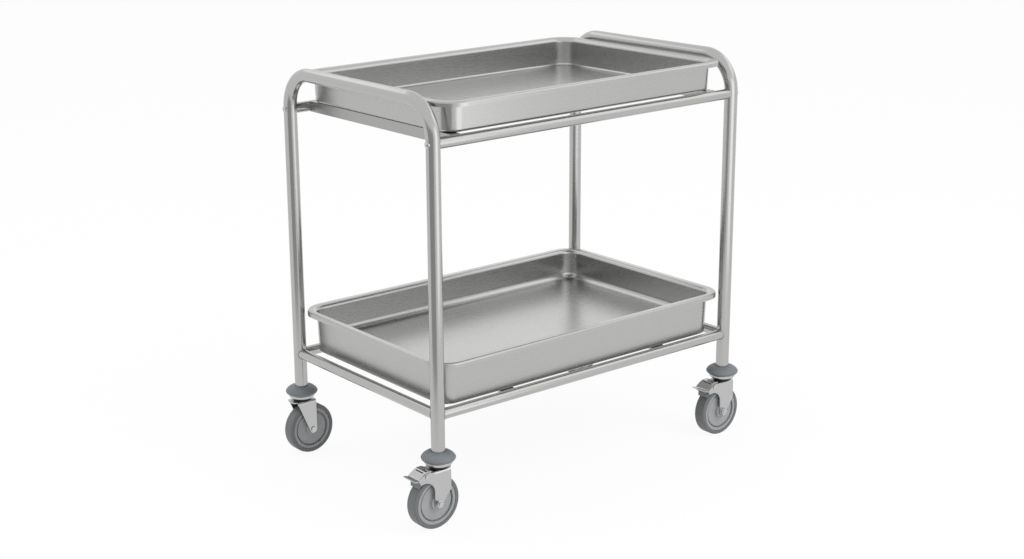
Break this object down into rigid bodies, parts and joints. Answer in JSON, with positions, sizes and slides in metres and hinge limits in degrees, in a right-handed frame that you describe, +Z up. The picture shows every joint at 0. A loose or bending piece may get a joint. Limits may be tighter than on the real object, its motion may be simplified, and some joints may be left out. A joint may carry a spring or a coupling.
{
  "type": "dressing trolley",
  "caption": "Two-tier stainless dressing trolley: bent tube end hoops, long rails, lift-out trays and swivel casters, the front ones with foot brakes.",
  "frame": {"origin": "on the floor, in the middle of the four casters", "axes": "+Z up, +X along the long side towards the right-hand hoop, +Y towards the rear; the braked casters are at the front, on the -Y side"},
  "size_m": [0.8488, 0.508, 0.777],
  "materials": {
    "stainless_tube": "satin",
    "stainless_bearer": "satin",
    "stainless_sheet": "satin",
    "plated_steel": "bright zinc plate",
    "bolt_steel": "bright",
    "bumper_rubber": "matt",
    "tread_rubber": "matt",
    "wheel_plastic": "satin",
    "bearing_plastic": "matt"
  },
  "bodies": {
    "frame": {"left_end_hoop": "stainless_tube", "right_end_hoop": "stainless_tube", "upper_front_rail": "stainless_tube", "upper_rear_rail": "stainless_tube", "lower_front_rail": "stainless_tube", "lower_rear_rail": "stainless_tube", "lower_left_crossbar": "stainless_tube", "lower_right_crossbar": "stainless_tube", "upper_left_bearer": "stainless_bearer", "upper_right_bearer": "stainless_bearer", "lower_left_bearer": "stainless_bearer", "lower_right_bearer": "stainless_bearer", "rail_end_inserts": "plated_steel", "rail_bolts": "bolt_steel", "leg_end_sockets": "bearing_plastic", "front_left_caster_stem": "plated_steel", "front_left_bumper_disc": "bumper_rubber", "front_left_race_cap": "plated_steel", "front_right_caster_stem": "plated_steel", "front_right_bumper_disc": "bumper_rubber", "front_right_race_cap": "plated_steel", "rear_left_caster_stem": "plated_steel", "rear_left_bumper_disc": "bumper_rubber", "rear_left_race_cap": "plated_steel", "rear_right_caster_stem": "plated_steel", "rear_right_bumper_disc": "bumper_rubber", "rear_right_race_cap": "plated_steel"},
    "upper_tray": {"upper_tray": "stainless_sheet"},
    "lower_tray": {"lower_tray": "stainless_sheet"},
    "front_left_brake": {"front_left_brake_pedal": "plated_steel", "front_left_brake_shoe": "bumper_rubber"},
    "front_left_swivel": {"front_left_thrust_ring": "bearing_plastic", "front_left_fork": "plated_steel", "front_left_axle_bolt": "bolt_steel", "front_left_axle_sleeve": "plated_steel", "front_left_brake_pin": "bolt_steel"},
    "front_left_wheel": {"front_left_wheel_core": "wheel_plastic", "front_left_tyre": "tread_rubber"},
    "front_right_brake": {"front_right_brake_pedal": "plated_steel", "front_right_brake_shoe": "bumper_rubber"},
    "front_right_swivel": {"front_right_thrust_ring": "bearing_plastic", "front_right_fork": "plated_steel", "front_right_axle_bolt": "bolt_steel", "front_right_axle_sleeve": "plated_steel", "front_right_brake_pin": "bolt_steel"},
    "front_right_wheel": {"front_right_wheel_core": "wheel_plastic", "front_right_tyre": "tread_rubber"},
    "rear_left_swivel": {"rear_left_thrust_ring": "bearing_plastic", "rear_left_fork": "plated_steel", "rear_left_axle_bolt": "bolt_steel", "rear_left_axle_sleeve": "plated_steel"},
    "rear_left_wheel": {"rear_left_wheel_core": "wheel_plastic", "rear_left_tyre": "tread_rubber"},
    "rear_right_swivel": {"rear_right_thrust_ring": "bearing_plastic", "rear_right_fork": "plated_steel", "rear_right_axle_bolt": "bolt_steel", "rear_right_axle_sleeve": "plated_steel"},
    "rear_right_wheel": {"rear_right_wheel_core": "wheel_plastic", "rear_right_tyre": "tread_rubber"}
  },
  "joints": [
    {"name": "upper_tray_lift", "type": "slide", "parent": "frame", "child": "upper_tray", "axis": [0, 0, 1], "range_m": [0, 0.08]},
    {"name": "lower_tray_lift", "type": "slide", "parent": "frame", "child": "lower_tray", "axis": [0, 0, 1], "range_m": [0, 0.1]},
    {"name": "front_left_caster_swivel", "type": "hinge", "parent": "frame", "child": "front_left_swivel", "pos_m": [-0.36, -0.2225, 0.1], "axis": [0, 0, 1], "continuous": true},
    {"name": "front_left_wheel_spin", "type": "hinge", "parent": "front_left_swivel", "child": "front_left_wheel", "pos_m": [-0.3735, -0.2225, 0.05], "axis": [0, 1, 0], "continuous": true},
    {"name": "front_left_brake_press", "type": "hinge", "parent": "front_left_swivel", "child": "front_left_brake", "pos_m": [-0.3985, -0.2225, 0.107], "axis": [0, -1, 0], "range_deg": [0, 6]},
    {"name": "front_right_caster_swivel", "type": "hinge", "parent": "frame", "child": "front_right_swivel", "pos_m": [0.36, -0.2225, 0.1], "axis": [0, 0, 1], "continuous": true},
    {"name": "front_right_wheel_spin", "type": "hinge", "parent": "front_right_swivel", "child": "front_right_wheel", "pos_m": [0.3465, -0.2225, 0.05], "axis": [0, 1, 0], "continuous": true},
    {"name": "front_right_brake_press", "type": "hinge", "parent": "front_right_swivel", "child": "front_right_brake", "pos_m": [0.3215, -0.2225, 0.107], "axis": [0, -1, 0], "range_deg": [0, 6]},
    {"name": "rear_left_caster_swivel", "type": "hinge", "parent": "frame", "child": "rear_left_swivel", "pos_m": [-0.36, 0.2225, 0.1], "axis": [0, 0, 1], "continuous": true},
    {"name": "rear_left_wheel_spin", "type": "hinge", "parent": "rear_left_swivel", "child": "rear_left_wheel", "pos_m": [-0.3465, 0.2225, 0.05], "axis": [0, 1, 0], "continuous": true},
    {"name": "rear_right_caster_swivel", "type": "hinge", "parent": "frame", "child": "rear_right_swivel", "pos_m": [0.36, 0.2225, 0.1], "axis": [0, 0, 1], "continuous": true},
    {"name": "rear_right_wheel_spin", "type": "hinge", "parent": "rear_right_swivel", "child": "rear_right_wheel", "pos_m": [0.3735, 0.2225, 0.05], "axis": [0, 1, 0], "continuous": true}
  ]
}
